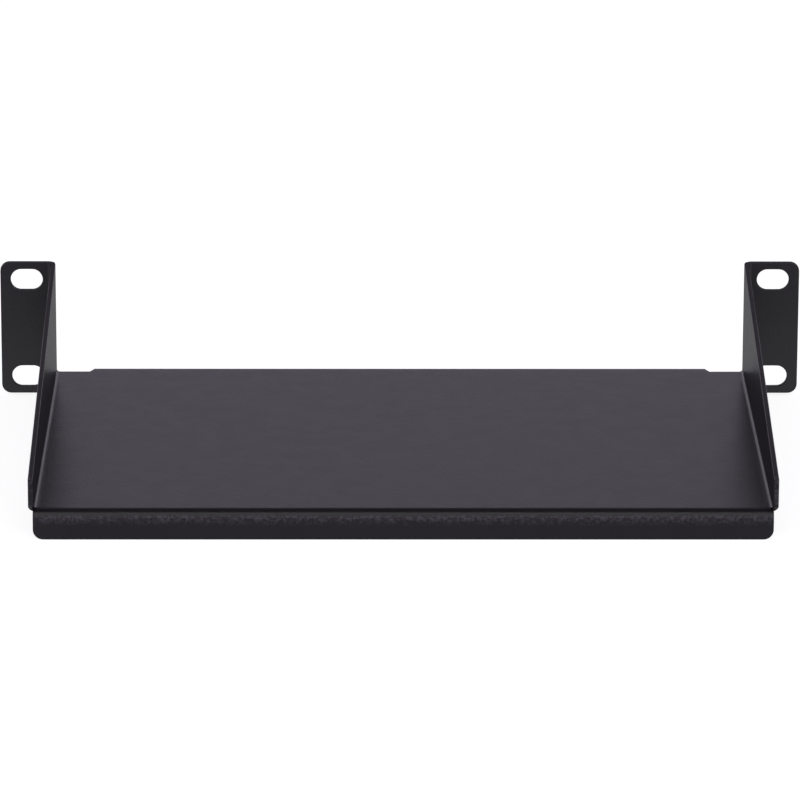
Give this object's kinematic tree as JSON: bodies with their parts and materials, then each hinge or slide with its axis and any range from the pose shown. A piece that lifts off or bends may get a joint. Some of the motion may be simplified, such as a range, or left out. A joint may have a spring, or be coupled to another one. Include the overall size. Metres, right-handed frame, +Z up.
{
  "type": "rack shelf",
  "caption": "Shelf for a narrow equipment rack, folded from steel sheet, with a flat plate, sloping side walls, slotted ears for the rails and stiffening lips.",
  "frame": {"origin": "middle of the slot pattern in the ears, in the plane of the ears' faces that meet the rack rails", "axes": "+X across the rack to the right as seen from the free lip, +Y out of the rack towards its front, +Z up"},
  "size_m": [0.2532, 0.1523, 0.044],
  "materials": {
    "black_powder_coat": "finely textured black powder coat, satin"
  },
  "bodies": {
    "root": {"shelf": "black_powder_coat"}
  },
  "joints": []
}
